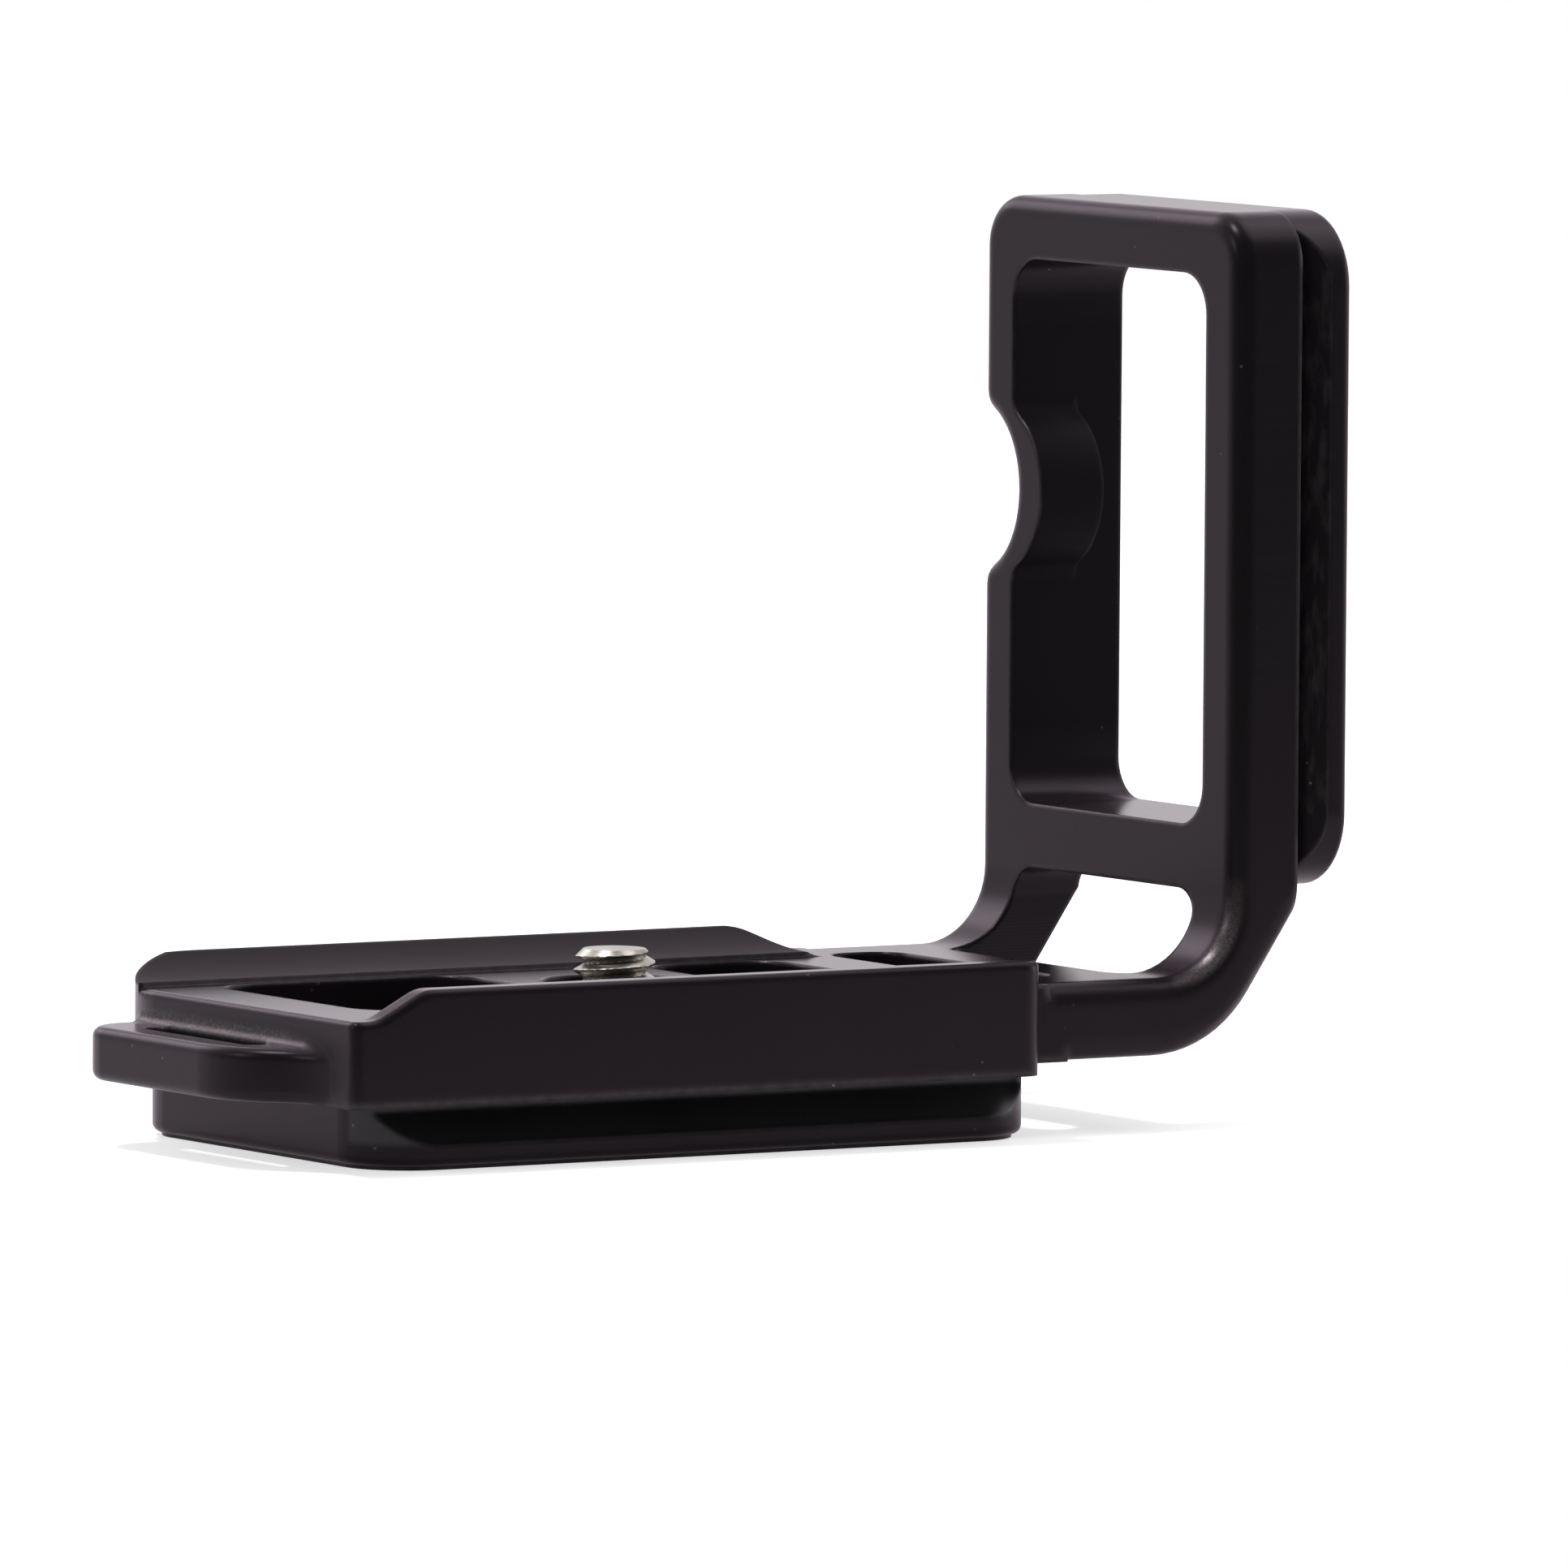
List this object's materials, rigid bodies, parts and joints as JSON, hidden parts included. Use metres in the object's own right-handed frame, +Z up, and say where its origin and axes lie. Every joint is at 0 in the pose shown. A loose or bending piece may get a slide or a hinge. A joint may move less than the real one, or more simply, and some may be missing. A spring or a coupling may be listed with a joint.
{
  "type": "camera l-bracket",
  "caption": "L-shaped black anodised camera plate: lipped deck with windows, upright windowed arm, dovetail rails under the base and outside the arm, and a captive camera screw.",
  "frame": {"origin": "on the camera screw's axis, in the plane of the base dovetail's sole", "axes": "+Z up through the camera screw, +X along the base towards the upright arm, +Y to the rear"},
  "size_m": [0.096, 0.041, 0.0705],
  "materials": {
    "anodised_aluminium": "satin black anodised",
    "stainless_steel": "bright turned"
  },
  "bodies": {
    "plate": {"l_plate": "anodised_aluminium"},
    "screw": {"camera_screw": "stainless_steel"}
  },
  "joints": [
    {"name": "screw_turn", "type": "hinge", "parent": "plate", "child": "screw", "pos_m": [0, 0, 0.0072], "axis": [0, 0, 1], "continuous": true}
  ]
}
